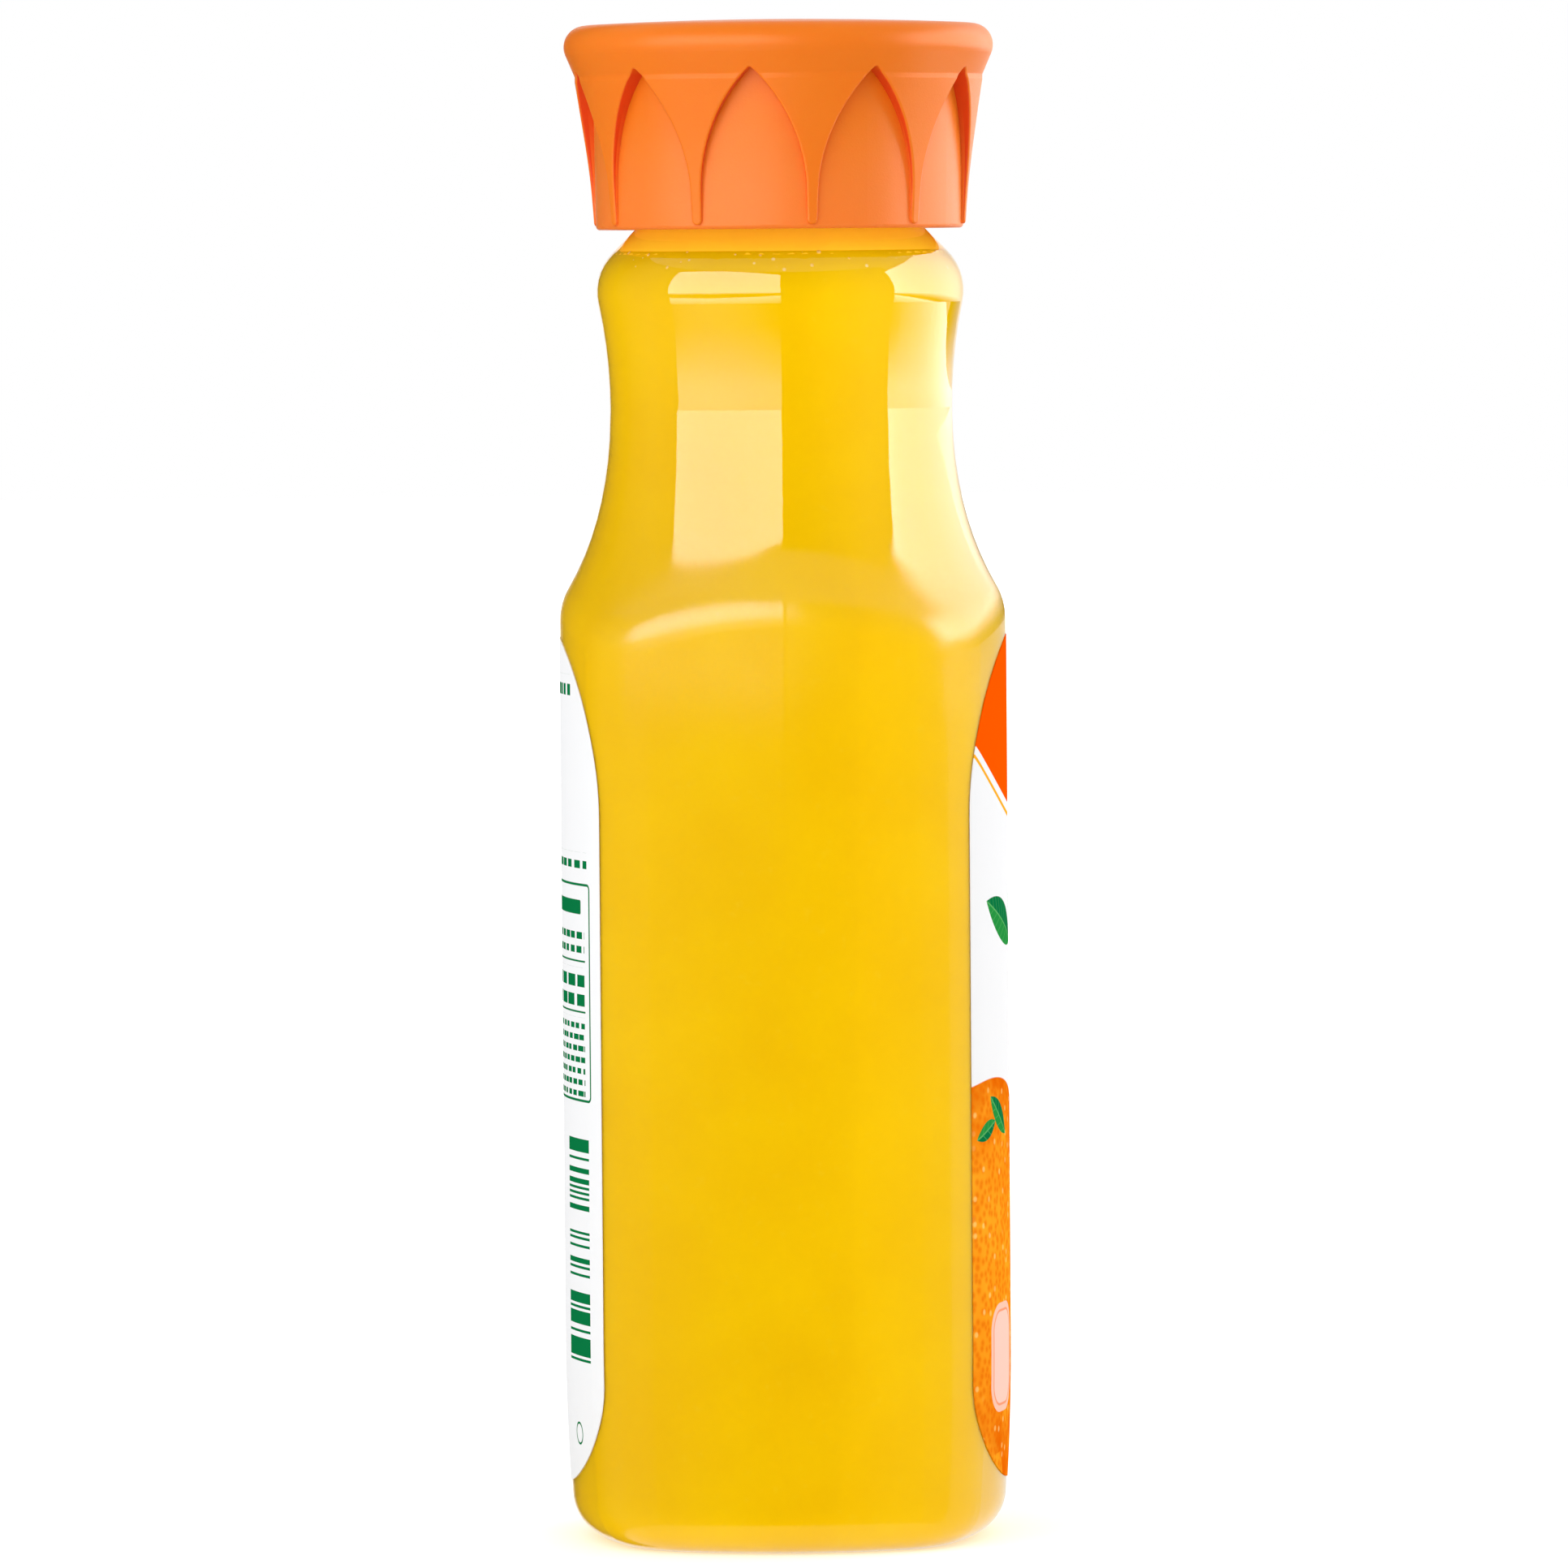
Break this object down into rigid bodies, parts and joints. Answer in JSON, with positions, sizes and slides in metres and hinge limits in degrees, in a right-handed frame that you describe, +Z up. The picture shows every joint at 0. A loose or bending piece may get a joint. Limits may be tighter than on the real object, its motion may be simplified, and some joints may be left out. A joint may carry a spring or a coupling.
{
  "type": "bottle of orange juice",
  "caption": "Clear waisted bottle of orange juice with bowed side panels, plain printed labels and a flared orange cap ringed with pointed-arch recesses.",
  "frame": {"origin": "centre of the base, on the surface that the bottle stands on", "axes": "+Z up along the bottle's axis, +X towards the front label, -X towards the back label, +Y and -Y towards the clear panels"},
  "size_m": [0.0558, 0.0556, 0.1893],
  "materials": {
    "bottle_shell": "clear blown polyester, glossy",
    "juice": "opaque cloudy orange juice",
    "cap": "moulded orange plastic, satin",
    "label_front": "printed white film",
    "label_back": "printed white film"
  },
  "bodies": {
    "root": {"bottle": "bottle_shell", "juice": "juice", "cap": "cap", "label_front": "label_front", "label_back": "label_back"}
  },
  "joints": []
}
